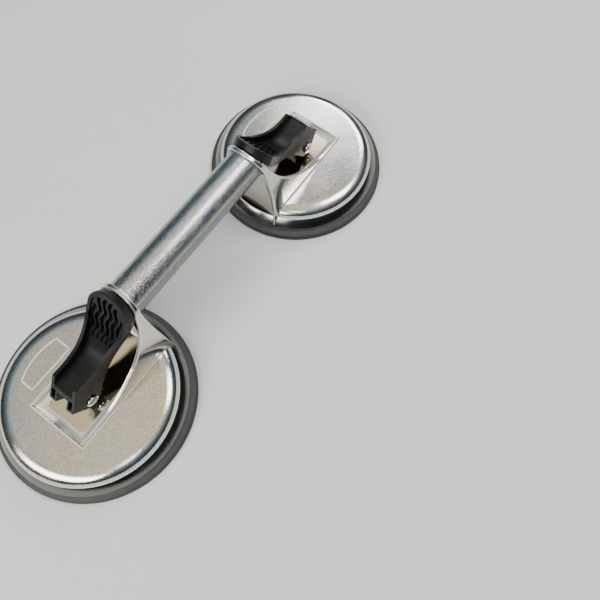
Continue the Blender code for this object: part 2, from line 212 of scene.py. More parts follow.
def moulded_plastic(name, dark, light):
    """Black moulding, cloudy between two greys, with a fine grain."""
    mat, tree, shader = node_tree(name)
    coords = add(tree, "ShaderNodeTexCoord").outputs["Object"]
    cloud = noise(tree, coords, 90.0, 4.0, 0.6)
    grain = noise(tree, coords, 2600.0, 2.0, 0.6)
    color = ramp(tree, cloud, [(0.3, (dark, dark, 1.05 * dark)), (0.75, (light, light, 1.04 * light))])
    tree.links.new(color, shader.inputs["Base Color"])
    rough = ramp(tree, cloud, [(0.3, (0.33,)), (0.7, (0.46,))])
    tree.links.new(rough, shader.inputs["Roughness"])
    tree.links.new(bump(tree, grain, 0.12, 0.0001), shader.inputs["Normal"])
    shader.inputs["Specular IOR Level"].default_value = 0.22
    return mat


def rubber_greyer_facing_up(name):
    """Matt black rubber, blended towards a cloudy grey where it faces up."""
    mat, tree, shader = node_tree(name)
    coords = add(tree, "ShaderNodeTexCoord").outputs["Object"]
    cloud = noise(tree, coords, 120.0, 5.0, 0.65)
    grain = noise(tree, coords, 1800.0, 3.0, 0.6)
    facing = add(tree, "ShaderNodeSeparateXYZ")
    tree.links.new(add(tree, "ShaderNodeNewGeometry").outputs["Normal"], facing.inputs["Vector"])
    # Greyer where the surface faces up.
    up = ramp(tree, facing.outputs["Z"], [(0.25, (0.0,)), (0.95, (1.0,))])
    facing_up_grey = add(tree, "ShaderNodeMath", operation="MULTIPLY")
    tree.links.new(up, facing_up_grey.inputs[0])
    tree.links.new(ramp(tree, cloud, [(0.3, (0.45,)), (0.7, (1.0,))]), facing_up_grey.inputs[1])
    color = blend_colors(tree, facing_up_grey.outputs[0], (0.014, 0.014, 0.015), (0.072, 0.070, 0.067))
    tree.links.new(color, shader.inputs["Base Color"])
    tree.links.new(ramp(tree, cloud, [(0.3, (0.52,)), (0.7, (0.72,))]), shader.inputs["Roughness"])
    tree.links.new(bump(tree, grain, 0.25, 0.0002), shader.inputs["Normal"])
    return mat


def turned_steel(name, tint, low, high):
    """Steel with fine lines round it and cloudy tones. Its roughness goes from low to high."""
    mat, tree, shader = node_tree(name)
    coords = add(tree, "ShaderNodeTexCoord").outputs["Object"]
    lines = noise(tree, coords, 900.0, 3.0, 0.6, (1.0, 1.0, 6.0))
    cloud = noise(tree, coords, 140.0, 3.0, 0.5)
    dark = tuple(0.7 * c for c in tint)
    tree.links.new(ramp(tree, cloud, [(0.3, dark), (0.65, tint)]), shader.inputs["Base Color"])
    tree.links.new(ramp(tree, lines, [(0.3, (low,)), (0.7, (high,))]), shader.inputs["Roughness"])
    shader.inputs["Metallic"].default_value = 1.0
    tree.links.new(bump(tree, lines, 0.2, 0.0001), shader.inputs["Normal"])
    return mat


# The cover's flange, below 12.8 mm, gets a painted dark reflection.
COVER_STEEL = plated_steel("cover_steel", (0.86, 0.85, 0.82), 0.11, 0.23, 1.0, 0.4, 1250.0, 0.0128)
# Painted light: the rim and the well's fillet are lighter, partly diffuse copies of the housing's steel, so
# they read bright.
RIM_PAINTED_HIGHLIGHT = plated_steel("rim_steel_painted_highlight", (0.93, 0.91, 0.85), 0.20, 0.30, 0.15, 0.15)
FILLET_PAINTED_LIGHT = plated_steel("fillet_steel_painted_light", (0.97, 0.96, 0.93), 0.28, 0.40, 0.15, 0.2)
HOUSING_STEEL = plated_steel("housing_steel", (0.70, 0.69, 0.67), 0.06, 0.15, 0.25, 0.15)
TUBE_STEEL = plated_steel("tube_steel", (0.65, 0.66, 0.68), 0.18, 0.28, 1.0, 0.3, 1250.0)
FLOOR_STEEL = plated_steel("well_floor_steel", (0.80, 0.70, 0.54), 0.05, 0.13, 0.25, 0.12)
PANEL_STEEL = plated_steel("panel_steel", (0.88, 0.86, 0.81), 0.26, 0.40, 0.25, 0.2)
# Painted highlight: a white, diffuse material for the thin bright lines on the cover.
PAINTED_EDGE_HIGHLIGHT = plated_steel("painted_edge_highlight", (1.0, 0.99, 0.95), 0.34, 0.46, 0.05, 0.1)
# Painted light: the edge lines are made fully diffuse, and the fillet and the rim partly diffuse, so they
# read bright.
for look, metal in ((PAINTED_EDGE_HIGHLIGHT, 0.0), (FILLET_PAINTED_LIGHT, 0.6), (RIM_PAINTED_HIGHLIGHT, 0.8)):
    look.node_tree.nodes["Principled BSDF"].inputs["Metallic"].default_value = metal
PLASTIC = moulded_plastic("black_moulding", 0.005, 0.014)
RUBBER = rubber_greyer_facing_up("pad_rubber")
PIN_STEEL = turned_steel("pin_steel", (0.86, 0.84, 0.79), 0.07, 0.18)
STAMPED_STEEL = turned_steel("stamped_steel", (0.62, 0.62, 0.62), 0.24, 0.42)


def paint_tube_reflections(mat):
    """Adds painted reflections and painted shade: lengthwise colour bands by the angle about the tube's axis,
    bright on top and darker underneath, and a coarser sparkle.
    """
    tree = mat.node_tree
    shader = tree.nodes["Principled BSDF"]
    split = add(tree, "ShaderNodeSeparateXYZ")
    tree.links.new(add(tree, "ShaderNodeTexCoord").outputs["Object"], split.inputs["Vector"])
    above = add(tree, "ShaderNodeMath", operation="SUBTRACT")
    tree.links.new(split.outputs["Z"], above.inputs[0])
    above.inputs[1].default_value = TUBE_Z * MM
    angle = add(tree, "ShaderNodeMath", operation="ARCTAN2")
    tree.links.new(above.outputs[0], angle.inputs[0])
    tree.links.new(split.outputs["Y"], angle.inputs[1])
    # Painted reflections round the top and painted shade underneath, as colour bands.
    painted_reflection_bands = ramp(tree, map_range(tree, angle.outputs[0], -math.pi, math.pi), [
        (0.0, (0.42, 0.43, 0.45)), (0.50, (0.50, 0.58, 0.62)), (0.60, (0.62, 0.74, 0.78)),
        (0.632, (0.72, 0.84, 0.84)), (0.645, (1.0, 1.0, 0.78)), (0.660, (0.72, 0.84, 0.88)),
        (0.76, (0.98, 1.0, 1.0)), (0.87, (1.0, 0.98, 0.98)), (0.895, (0.95, 0.82, 0.86)),
        (0.915, (0.66, 0.70, 0.76)), (0.932, (0.92, 0.95, 0.50)), (0.945, (0.45, 0.48, 0.50)),
        (1.0, (0.42, 0.43, 0.45)),
    ])
    untinted = shader.inputs["Base Color"].links[0].from_socket
    tree.links.new(blend_colors(tree, 1.0, untinted, painted_reflection_bands, "MULTIPLY"), shader.inputs["Base Color"])
    coords = add(tree, "ShaderNodeTexCoord").outputs["Object"]
    grains = ramp(tree, noise(tree, coords, 1500.0, 1.0, 0.5), [(0.48, (0.0,)), (0.62, (1.0,))])
    smoother = shader.inputs["Normal"].links[0].from_socket
    tree.links.new(bump(tree, grains, 0.8, 0.00007, smoother), shader.inputs["Normal"])


paint_tube_reflections(TUBE_STEEL)


# Mesh helpers


def at(side, u, v, z):
    """A cup's own coordinates in millimetres, to the shared frame's in metres."""
    return Vector((side * (CUP_HALF + u), v, z)) * MM


def arc(center, radius, start, end, steps):
    """Points round a circle, from one angle in degrees to another."""
    turns = [math.radians(start + (end - start) * i / steps) for i in range(steps + 1)]
    return [(center[0] + radius * math.cos(t), center[1] + radius * math.sin(t)) for t in turns]


def smooth_path(points, steps):
    """A Catmull-Rom curve through the points, resampled evenly along its length."""
    pts = [np.array(p, float) for p in points]
    pts = [2 * pts[0] - pts[1]] + pts + [2 * pts[-1] - pts[-2]]
    fine = []
    for a, b, c, d in zip(pts, pts[1:], pts[2:], pts[3:]):
        for k in range(16):
            t = k / 16
            square, cube = 2 * a - 5 * b + 4 * c - d, 3 * b - a - 3 * c + d
            fine.append(0.5 * (2 * b + (c - a) * t + square * t**2 + cube * t**3))
    fine.append(pts[-2])
    fine = np.array(fine)
    run = np.concatenate([[0], np.cumsum(np.linalg.norm(np.diff(fine, axis=0), axis=1))])
    even = np.linspace(0, run[-1], steps + 1)
    return np.column_stack([np.interp(even, run, fine[:, k]) for k in range(fine.shape[1])])


def add_grid(bm, rows, wrap=False):
    """Quads between rows of points. wrap also joins each row's last point to its first."""
    made = [[bm.verts.new(p) for p in row] for row in rows]
    for first, second in zip(made, made[1:]):
        count = len(first)
        for i in range(count if wrap else count - 1):
            j = (i + 1) % count
            bm.faces.new((first[i], first[j], second[j], second[i]))
    return made


def add_tube(bm, points, radius, sides=10, closed=False):
    """A round bar along the points."""
    pts = [Vector(p) for p in points]
    count = len(pts)
    ahead = []
    for i in range(count):
        before = pts[i - 1] if closed or i else pts[i]
        after = pts[(i + 1) % count] if closed or i < count - 1 else pts[i]
        ahead.append((after - before).normalized())
    across = ahead[0].orthogonal().normalized()
    rings = []
    for i in range(count):
        across = (across - ahead[i] * across.dot(ahead[i])).normalized()
        up = ahead[i].cross(across)
        ring = []
        for k in range(sides):
            turn = 2 * math.pi * k / sides
            ring.append(pts[i] + (across * math.cos(turn) + up * math.sin(turn)) * radius * MM)
        rings.append(ring)
    if closed:
        add_grid(bm, rings + [rings[0]], wrap=True)
        return
    made = add_grid(bm, rings, wrap=True)
    bm.faces.new(made[0])
    bm.faces.new(made[-1])


def add_revolved(bm, side, profile, steps):
    """A (radius, z) outline turned about the cup's axis."""
    rings = []
    for radius, z in profile:
        radius = max(radius, 0.01)
        turns = [2 * math.pi * i / steps for i in range(steps)]
        rings.append([at(side, radius * math.cos(t), radius * math.sin(t), z) for t in turns])
    add_grid(bm, rings + [rings[0]], wrap=True)


def add_prism(bm, side, outline, along, low, high):
    """An outline extruded along v or z. Its pairs are the two other axes, in u, v, z order."""
    rings = []
    for t in (low, high):
        rings.append([at(side, a, t, b) if along == "v" else at(side, a, b, t) for a, b in outline])
    made = add_grid(bm, rings, wrap=True)
    bm.faces.new(made[0])
    bm.faces.new(made[-1])


def mesh_object(bm, name, look, smooth=30):
    """Turns a bmesh into an object. Edges that bend by more than smooth, in degrees, stay sharp."""
    bmesh.ops.remove_doubles(bm, verts=bm.verts, dist=2e-6)
    bmesh.ops.recalc_face_normals(bm, faces=bm.faces)
    mesh = bpy.data.meshes.new(name)
    bm.to_mesh(mesh)
    bm.free()
    mesh.materials.append(look)
    mesh.shade_smooth()
    mesh.set_sharp_from_angle(angle=math.radians(smooth))
    obj = bpy.data.objects.new(name, mesh)
    bpy.context.scene.collection.objects.link(obj)
    return obj


def combine(obj, cutters, operation="DIFFERENCE"):
    """Cuts the cutters out of the object, or keeps only what is in them."""
    for cutter in cutters:
        modifier = obj.modifiers.new(cutter.name, "BOOLEAN")
        modifier.operation = operation
        modifier.object = cutter
        modifier.solver = "EXACT"


def bake(obj, cutters, smooth):
    """Turns the object's modifiers into plain mesh and removes its cutters."""
    bpy.context.view_layer.update()
    done = bpy.data.meshes.new_from_object(obj.evaluated_get(bpy.context.evaluated_depsgraph_get()))
    obj.modifiers.clear()
    obj.data = done
    done.shade_smooth()
    done.set_sharp_from_angle(angle=math.radians(smooth))
    for cutter in cutters:
        bpy.data.objects.remove(cutter, do_unlink=True)


def soften(obj, width):
    """Rounds the object's sharp edges."""
    bevel = obj.modifiers.new("soft_edges", "BEVEL")
    bevel.width = width * MM
    bevel.segments = 3
    bevel.limit_method = "ANGLE"
    bevel.angle_limit = math.radians(40)
    bevel.use_clamp_overlap = True
    obj.modifiers.new("even_shading", "WEIGHTED_NORMAL").keep_sharp = True


def piece(obj, body, stands_for):
    """Hangs an object on a body. stands_for names the CAD nodes that it's shown instead of."""
    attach(obj, body)
    if stands_for:
        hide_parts(*stands_for)


# Handle tube


def tube_end(z):
    """How far the tube reaches at a height: its ends lean with the collars above the middle."""
    return TUBE_HALF - MITRE_SLOPE * max(0.0, z - MITRE_Z)


def build_tube():
    """The tube's wall, chamfered outside at its ends."""
    bm = bmesh.new()
    bore, step = TUBE_R - TUBE_WALL, TUBE_R - TUBE_CHAMFER
    outline = [(-1, TUBE_CHAMFER, TUBE_R), (1, TUBE_CHAMFER, TUBE_R), (1, 0.0, step), (1, 0.0, bore)]
    outline += [(-1, 0.0, bore), (-1, 0.0, step)]
    rings = []
    for end, back, radius in outline:
        ring = arc((0, TUBE_Z), radius, 0, 360 - 2.5, 143)
        rings.append([Vector((end * (tube_end(z) - back), y, z)) * MM for y, z in ring])
    add_grid(bm, rings + [rings[0]], wrap=True)
    piece(mesh_object(bm, "tube_handle", TUBE_STEEL), "frame", ["handle_tube"])


# Cover


def shoulder(center_r, reach, center_z, rise, steps):
    """A quarter ellipse of (radius, z), from its top down to its outer end."""
    points = []
    for i in range(steps + 1):
        turn = math.pi / 2 * i / steps
        points.append((center_r + reach * math.sin(turn), center_z + rise * math.cos(turn)))
    return points


def cover_height(radius):
    """Height of the cover's outer face at a distance from the cup's centre."""
    if radius <= FLAT_R:
        return TOP_Z
    if radius <= CREASE_R:
        part = (radius - FLAT_R) / (CREASE_R - FLAT_R)
        return CREASE_Z + SHOULDER_RISE * math.sqrt(max(0.0, 1 - part**2))
    return CREASE_Z - (radius - CREASE_R) * (CREASE_Z - RIM_Z) / (RIM_R - CREASE_R)


def build_cover(side, tag):
    """The cover's sheet with the housing's slot cut in it, and its bright lines, which are painted
    highlights.
    """
    outer = [(0.0, TOP_Z), (20.0, TOP_Z), (36.0, TOP_Z)]
    outer += shoulder(FLAT_R, CREASE_R - FLAT_R, CREASE_Z, SHOULDER_RISE, 24)
    outer += [(CREASE_R + 0.15, CREASE_Z - 0.45), (CREASE_R + 0.6, CREASE_Z - 0.75)]
    outer += [(RIM_R - 0.15, RIM_Z + 0.15), (RIM_R, RIM_Z - 0.15), (RIM_R - 0.2, RIM_Z - 0.55)]
    outer += [(RIM_R - 0.7, RIM_Z - 0.75), (RIM_R - 1.1, RIM_Z - 0.5)]
    inner = [(0.0, TOP_Z - SHEET)] + shoulder(FLAT_R, 7.7, CREASE_Z - 0.85, 5.05, 12)
    bm = bmesh.new()
    add_revolved(bm, side, inner + outer[::-1], 256)
    cover = mesh_object(bm, "cover_shell_" + tag, COVER_STEEL, 40)
    reach = CREASE_R + 0.2
    end = math.degrees(math.asin(SLOT_V / reach))
    plan = [(SLOT_U, -SLOT_V), (SLOT_U, SLOT_V)] + arc((0.0, 0.0), reach, 180 - end, 180 + end, 24)
    bm = bmesh.new()
    add_prism(bm, side, plan, "z", 2.0, 30.0)
    cutter = mesh_object(bm, "slot_" + tag, COVER_STEEL)
    combine(cover, [cutter])
    bake(cover, [cutter], 40)
    piece(cover, "frame", ["cup_cover_" + tag])

    # Painted highlights: bright lines in a white, diffuse material round the slot, along the crease and round
    # the blank pressed frame
    bm = bmesh.new()
    slot_edge = []
    first_u, sunk = -46.35, 0.38
    for i in range(25):
        u = first_u + (SLOT_U - first_u) * i / 24
        slot_edge.append((u, SLOT_V + 0.25, cover_height(math.hypot(u, SLOT_V + 0.25)) - sunk))
    slot_edge += [(SLOT_U + 0.05, SLOT_V + 0.2, TOP_Z - sunk)]
    across = [(SLOT_U + 0.25, SLOT_V * (1 - i / 6), TOP_Z - sunk) for i in range(1, 7)]
    right = slot_edge + across
    full = right + [(u, -v, z) for u, v, z in reversed(right[:-1])]
    add_tube(bm, [at(side, *p) for p in full], 0.46, 10)
    ring = [at(side, (CREASE_R + 0.1) * math.cos(t), (CREASE_R + 0.1) * math.sin(t), CREASE_Z - 0.32)
            for t in np.linspace(0, 2 * math.pi, 193)[:-1]]
    add_tube(bm, ring, 0.36, 8, closed=True)
    label = label_outline()
    add_tube(bm, [at(side, u, v, TOP_Z - 0.12) for u, v in label], 0.48, 8, closed=True)
    piece(mesh_object(bm, "cover_edges_" + tag, PAINTED_EDGE_HIGHLIGHT), "frame", ())


def label_outline():
    """A blank pressed frame beside the slot: straight on the inside, curved like the cover on the outside."""
    low_u, high_u, inner_v, radius = -12.3, 16.7, 25.0, 37.3
    start = math.degrees(math.asin(-low_u / radius))
    end = math.degrees(math.asin(high_u / radius))
    points = [(low_u + (high_u - low_u) * i / 12, inner_v) for i in range(13)]
    outer = arc((0.0, 0.0), radius, 90 - end, 90 + start, 24)
    points += [(high_u, inner_v + (outer[0][1] - inner_v) * i / 5) for i in range(1, 5)]
    points += outer
    points += [(low_u, outer[-1][1] + (inner_v - outer[-1][1]) * i / 5) for i in range(1, 5)]
    return points


# Lever housing


def neck_half(z):
    """Half the housing's width at a height: upright at its foot, then leaning in to the collar."""
    if z <= NECK_LEAN_Z:
        return NECK_HALF
    return NECK_HALF - NECK_LEAN * ((z - NECK_LEAN_Z) / NECK_LEAN_RISE) ** 1.6


# The section is (v, z), from the foot to the collar's top. The rim and the neck's end are (u, z).
SECTION = smooth_path(
    [(neck_half(z), z) for z in (8.0, 14.0, 20.0, 25.0, 30.0, 36.0, 42.0, 48.0, 53.0)]
    + arc((0.0, COLLAR_Z), COLLAR_R, 12, 90, 8), 160
)
RIM = smooth_path(
    [(22.3, 18.95), (12.0, 19.3), (3.0, 20.0), (-4.0, 21.9), (-12.0, 25.3)]
    + arc((6.5, 79.0), 56.0, 236.2, 204.0, 10) + [(-46.9, 61.5), (-49.0, 66.9), (-50.2, 70.2)], 110
)
END = [(-50.6, 8.5), (-49.4, 18.0), (-48.7, 30.0), (-48.25, 42.0)]
END += [(-48.2, 52.0), (-48.6, 59.0), (-49.9, 64.5), (-51.8, 70.2)]


def section_at(z):
    """Place along the section, from 0 at the foot to 1 at the top, for a height."""
    return float(np.interp(z, SECTION[:, 1], np.linspace(0, 1, len(SECTION))))


def on_section(s, inset=0.0):
    """(v, z) on the housing's section, moved inwards by inset."""
    places = np.linspace(0, 1, len(SECTION))
    point = np.array([np.interp(s, places, SECTION[:, k]) for k in (0, 1)])
    step = 0.006
    low = np.array([np.interp(max(s - step, 0), places, SECTION[:, k]) for k in (0, 1)])
    high = np.array([np.interp(min(s + step, 1), places, SECTION[:, k]) for k in (0, 1)])
    ahead = (high - low) / np.linalg.norm(high - low)
    if s > 0.999:
        ahead = np.array([-1.0, 0.0])
    return point + inset * np.array([-ahead[1], ahead[0]])


def add_shell_half(bm, rim, side, hand):
    """One side of the housing's sheet, with its rolled rim in a mesh of its own.

    Each column runs from the foot or the neck's end up the outside, over the rim and down the inside.
    """
    foot = [(22.3, FOOT_Z), (0.0, FOOT_Z), (-30.0, FOOT_Z), (-41.0, 15.6), (-46.0, 11.6), (-50.4, 8.6)]
    foot_path = smooth_path(foot, 54)
    end_path = smooth_path(END, 56)
    outer = np.vstack([foot_path, end_path[1:]])
    places = np.linspace(0, 1, len(RIM))
    outer = np.column_stack([np.interp(places, np.linspace(0, 1, len(outer)), outer[:, k]) for k in (0, 1)])
    rows = []
    for low, high in zip(outer, RIM):
        a = np.array([low[0], section_at(low[1])])
        b = np.array([high[0], section_at(high[1])])
        column = []
        for k in range(OUTSIDE_ROWS):
            p = a + (b - a) * (k / (OUTSIDE_ROWS - 1)) ** 0.85
            v, z = on_section(p[1])
            column.append((p[0], v, z))
        away = np.array(column[-1]) - np.array(column[-2])
        away /= np.linalg.norm(away)
        v, z = on_section(b[1], 2 * RIM_ROLL)
        inner = np.array([b[0], v, z])
        middle = (np.array(column[-1]) + inner) / 2
        half = (np.array(column[-1]) - inner) / 2
        for k in range(1, ROLL_ROWS + 1):
            turn = math.pi * k / (ROLL_ROWS + 1)
            across = math.copysign(abs(math.cos(turn)) ** 0.6, math.cos(turn))
            rise = math.sin(turn) ** 0.5 - 0.3 * math.exp(-((across / 0.42) ** 2))
            column.append(tuple(middle + half * across + away * RIM_ROLL * rise))
        for k in range(INSIDE_ROWS):
            part = k / (INSIDE_ROWS - 1)
            p = b + (a - b) * part
            inset = 2 * RIM_ROLL + (SHEET - 2 * RIM_ROLL) * min(1.0, part * 5)
            v, z = on_section(p[1], inset)
            column.append((p[0], v, z))
        rows.append([at(side, u, hand * v, z) for u, v, z in column])
    rim_end = OUTSIDE_ROWS + ROLL_ROWS
    add_grid(bm, [row[:OUTSIDE_ROWS] for row in rows])
    add_grid(rim, [row[OUTSIDE_ROWS - 1:rim_end + 1] for row in rows])
    add_grid(bm, [row[rim_end:] for row in rows])


def end_u(z):
    """Where the neck's end is at a height."""
    path = smooth_path(END, 60)
    return float(np.interp(z, path[:, 1], path[:, 0]))


def strip_width(z):
    """How wide the strip folded in along the neck's end is at a height."""
    return 1.2 + 3.4 * (z - 11.0) / 35.0


def add_neck_end(bm, side, hand):
    """The strip folded in along the neck's end, and the face that closes the collar round the tube."""
    rows = []
    for z in np.linspace(10.0, 51.0, 28):
        v = neck_half(z)
        width = strip_width(max(z, 11.0))
        u = end_u(z) + 0.4 * max(0.0, (z - 47.0) / 4.0)
        row = [(u + 0.5, v - 0.02, z), (u - 0.02, v - 0.35, z), (u - 0.08, v - 0.8, z)]
        row += [(u + 0.1, v - width + 0.5, z), (u + 0.35, v - width + 0.1, z)]
        row += [(u + 0.9, v - width, z), (u + 2.6, v - width, z)]
        rows.append([at(side, a, hand * b, c) for a, b, c in row])
    add_grid(bm, rows)
    rows = []
    for turn in np.linspace(-90, 90, 60):
        angle = math.radians(turn)
        inner = (COLLAR_BORE_R * math.cos(angle), TUBE_Z + COLLAR_BORE_R * math.sin(angle))
        if turn < -40:
            reach = (PANEL_TOP_Z - TUBE_Z) / math.sin(angle)
            reach = min(reach, PANEL_HALF / max(math.cos(angle), 1e-3))
            outer = (reach * math.cos(angle), TUBE_Z + reach * math.sin(angle))
        else:
            outer = collar_point(angle)
        row = []
        for part in (0.0, 0.3, 0.7, 1.0):
            v = inner[0] + (outer[0] - inner[0]) * part
            z = inner[1] + (outer[1] - inner[1]) * part
            row.append(at(side, end_u(z) + (0.9 if part == 0 else 0.25), hand * v, z))
        rows.append(row)
    add_grid(bm, rows)


def collar_point(angle):
    """Where a ray from the tube's axis meets the housing's section, a little inside its face."""
    relative = SECTION - np.array([0.0, TUBE_Z])
    turns = np.arctan2(relative[:, 1], relative[:, 0])
    order = np.argsort(turns)
    reach = np.interp(angle, turns[order], np.linalg.norm(relative, axis=1)[order]) - 0.25
    return reach * math.cos(angle), TUBE_Z + reach * math.sin(angle)


def add_back_wall(bm, side, hand):
    """The well's round back corner and half of its back wall."""
    rows = []
    for k in range(19):
        if k <= 12:
            turn = math.pi / 2 * k / 12
            du, dv = -WELL_CORNER_R * math.sin(turn), WELL_CORNER_R * math.cos(turn)
        else:
            du, dv = -WELL_CORNER_R, 0.0
        u = WELL_CORNER_U + du
        top = float(np.interp(-u, -RIM[:, 0], RIM[:, 1])) - 0.1
        column = []
        for j in range(15):
            z = FLOOR_Z + (top - FLOOR_Z) * j / 14
            straight = neck_half(z) - SHEET - WELL_CORNER_R
            v = straight + dv
            if k > 12:
                v = straight * (1 - (k - 12) / 6)
            column.append(at(side, u, hand * v, z))
        if k >= 12:
            column.append(at(side, u - 0.5, hand * max(v, 0.0), top + 0.35))
            column.append(at(side, u - 2.6, hand * max(v, 0.0), top + 0.4))
        else:
            column += [column[-1], column[-1]]
        rows.append(column)
    add_grid(bm, rows)


def well_loop():
    """Pairs of points round the well: on its wall, and where its fillet meets the floor."""
    quarter = [math.pi / 2 * i / 9 for i in range(10)]
    half = []
    for v in (0.0, 4.0, 8.0):
        half.append(((22.6, v), (18.3, min(v, 10.4))))
    for t in quarter:
        outer = (22.1 + 0.5 * math.cos(t), 17.25 + 0.5 * math.sin(t))
        half.append((outer, (15.3 + 3.0 * math.cos(t), 10.4 + 3.0 * math.sin(t))))
    for u in np.linspace(12.0, -34.0, 20):
        half.append(((u, 17.75), (u, 13.4)))
    for t in quarter:
        direction = (math.cos(math.pi / 2 + t), math.sin(math.pi / 2 + t))
        half.append(tuple((WELL_CORNER_U + r * direction[0], 9.9 + r * direction[1]) for r in (7.9, 3.5)))
    half += [((-43.9, v), (-39.5, v)) for v in (6.0, 2.0)]
    return half + [((a[0], -a[1]), (b[0], -b[1])) for a, b in reversed(half[1:])]


def add_well_fillet(bm, side):
    """The hollow slope round the well's floor: steep at the wall, flat at the floor, highest at the neck."""
    rows = []
    for part in np.linspace(0, 1, 10):
        row = []
        for wall, floor in well_loop():
            rise = FILLET_RISE + FILLET_EXTRA_RISE * min(1.0, max(0.0, (14.0 - wall[0]) / 30.0))
            u, v = (wall[k] + (floor[k] - wall[k]) * part for k in (0, 1))
            row.append(at(side, u, v, FILLET_FOOT_Z + rise * (1 - part) ** 1.7))
        rows.append(row)
    add_grid(bm, rows, wrap=True)


def build_housing(side, tag):
    """The housing's sheet, its bright rim and the fillet in its well. The rim and the fillet get lighter,
    partly diffuse copies of the steel, as painted light.
    """
    bm, rim, fillet = bmesh.new(), bmesh.new(), bmesh.new()
    add_well_fillet(fillet, side)
    for hand in (-1, 1):
        add_shell_half(bm, rim, side, hand)
        add_neck_end(bm, side, hand)
        add_back_wall(bm, side, hand)
        # A bright bead along the neck's end, in the rim's lighter steel: a painted highlight.
        edge = []
        for u, z in smooth_path(END, 60):
            v, height = on_section(section_at(z), 0.42)
            edge.append(at(side, u + 0.32, hand * v, height))
        add_tube(rim, edge, 0.5, 10)
    front_rows = []
    # The housing's front lip, in the rim's lighter steel: a painted highlight.
    for u, z in ((22.0, 17.9), (22.5, 18.5), (22.95, 18.8), (23.2, 18.6), (23.25, 17.2)):
        front_rows.append([at(side, u, v, z) for v in np.linspace(-19.0, 19.0, 21)])
    add_grid(rim, front_rows)
    housing = mesh_object(bm, "housing_shell_" + tag, HOUSING_STEEL, 50)
    piece(housing, "frame", ["lever_housing_" + tag])
    piece(mesh_object(rim, "housing_rim_" + tag, RIM_PAINTED_HIGHLIGHT, 50), "frame", ())
    piece(mesh_object(fillet, "well_fillet_" + tag, FILLET_PAINTED_LIGHT, 50), "frame", ())


# Rubber pad


def build_pad(side, tag):
    """The pad's edge band and lip, and its middle, which rises towards the centre."""
    profile = [(51.6, 1.3), (54.0, 0.5), (55.5, 0.0), (58.7, 0.0), (59.0, 0.35)]
    profile += [(58.95, 1.6), (58.7, 2.9), (58.45, 3.9), (58.1, 4.35), (56.5, 4.9)]
    profile += [(55.2, 5.55), (54.6, 5.85), (53.0, 5.9), (52.2, 5.2), (51.4, 3.4)]
    bm = bmesh.new()
    add_revolved(bm, side, profile, 192)
    rim = mesh_object(bm, "pad_lip_" + tag, RUBBER, 50)
    piece(rim, "frame", ["rubber_pad_" + tag])

    bm = bmesh.new()
    rows = []
    for i in range(41):
        radius = LIP_INNER_R * (1 - i / 40)
        part = min(1.0, (LIP_INNER_R - radius) / SKIN_RISE_REACH)
        z = SKIN_LOW_Z + SKIN_RISE * part * part * (3 - 2 * part)
        radius = max(radius, 0.02)
        rows.append([at(side, radius * math.cos(t), radius * math.sin(t), z)
                     for t in np.linspace(0, 2 * math.pi, 97)[:-1]])
    add_grid(bm, rows, wrap=True)
    skin = mesh_object(bm, "pad_skin_" + tag, RUBBER, 60)
    solid = skin.modifiers.new("thickness", "SOLIDIFY")
    solid.thickness = SKIN_THICKNESS * MM
    solid.offset = 1.0
    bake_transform(skin)


# Stem, pin, plate, washer and spring


def build_stem_parts(side, tag):
    """What rises with the lever, but for the rubber's middle, and the spring that pushes it down again."""
    body = "draw_stem_" + tag
    bm = bmesh.new()
    outline = arc((PIN_U, PIN_Z), STEM_HALF_WIDTH, 0, 180, 32)
    outline += [(PIN_U - STEM_HALF_WIDTH, 7.5), (PIN_U + STEM_HALF_WIDTH, 7.5)]
    add_prism(bm, side, outline, "v", -STEM_HALF_THICKNESS, STEM_HALF_THICKNESS)
    stem = mesh_object(bm, "draw_bar_" + tag, STAMPED_STEEL)
    soften(stem, 0.4)
    piece(stem, body, ["stem_" + tag])

    bm = bmesh.new()
    head = [(0.0, -10.35), (1.6, -10.2), (2.9, -9.85), (3.5, -9.45), (3.6, -9.1), (3.6, -8.7), (3.45, -8.6)]
    groove = [(PIN_R, -8.6), (PIN_R, 8.6), (1.9, 8.65), (1.9, 9.45), (PIN_R, 9.5)]
    profile = head + groove + [(PIN_R, 9.95), (2.3, 10.2), (1.5, 10.38), (0.0, 10.4)]
    rings = []
    for radius, v in profile:
        rings.append([at(side, u, v, z) for u, z in arc((PIN_U, PIN_Z), max(radius, 0.01), 0, 352.5, 47)])
    add_grid(bm, rings, wrap=True)
    piece(mesh_object(bm, "hinge_pin_" + tag, PIN_STEEL), body, ["pivot_pin_" + tag])

    bm = bmesh.new()
    add_revolved(bm, side, [(0.0, 5.6), (23.7, 5.6), (24.0, 5.9), (24.0, 6.9), (23.7, 7.2), (0.0, 7.2)], 96)
    plate = mesh_object(bm, "moulded_in_plate_" + tag, STAMPED_STEEL)
    piece(plate, body, ["pad_plate_" + tag])

    bm = bmesh.new()
    add_revolved(bm, side, [(9.0, 7.5), (22.3, 7.5), (22.5, 7.7), (22.5, 7.95), (22.3, 8.1), (9.0, 8.1)], 96)
    seat = mesh_object(bm, "spring_seat_" + tag, STAMPED_STEEL)
    piece(seat, body, ["spring_washer_" + tag])

    bm = bmesh.new()
    points = []
    for i in range(241):
        part = i / 240
        climb = min(1.0, max(0.0, (part - 0.12) / 0.76))
        radius = 19.5 - 8.5 * part
        turn = 2 * math.pi * SPRING_TURNS * part
        points.append(at(side, radius * math.cos(turn), radius * math.sin(turn), 9.02 + 5.16 * climb))
    add_tube(bm, points, SPRING_WIRE_R, 10)
    spring = mesh_object(bm, "coil_" + tag, PIN_STEEL, 60)
    piece(spring, "frame", ["return_spring_" + tag])
    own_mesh(spring)


# Cam lever


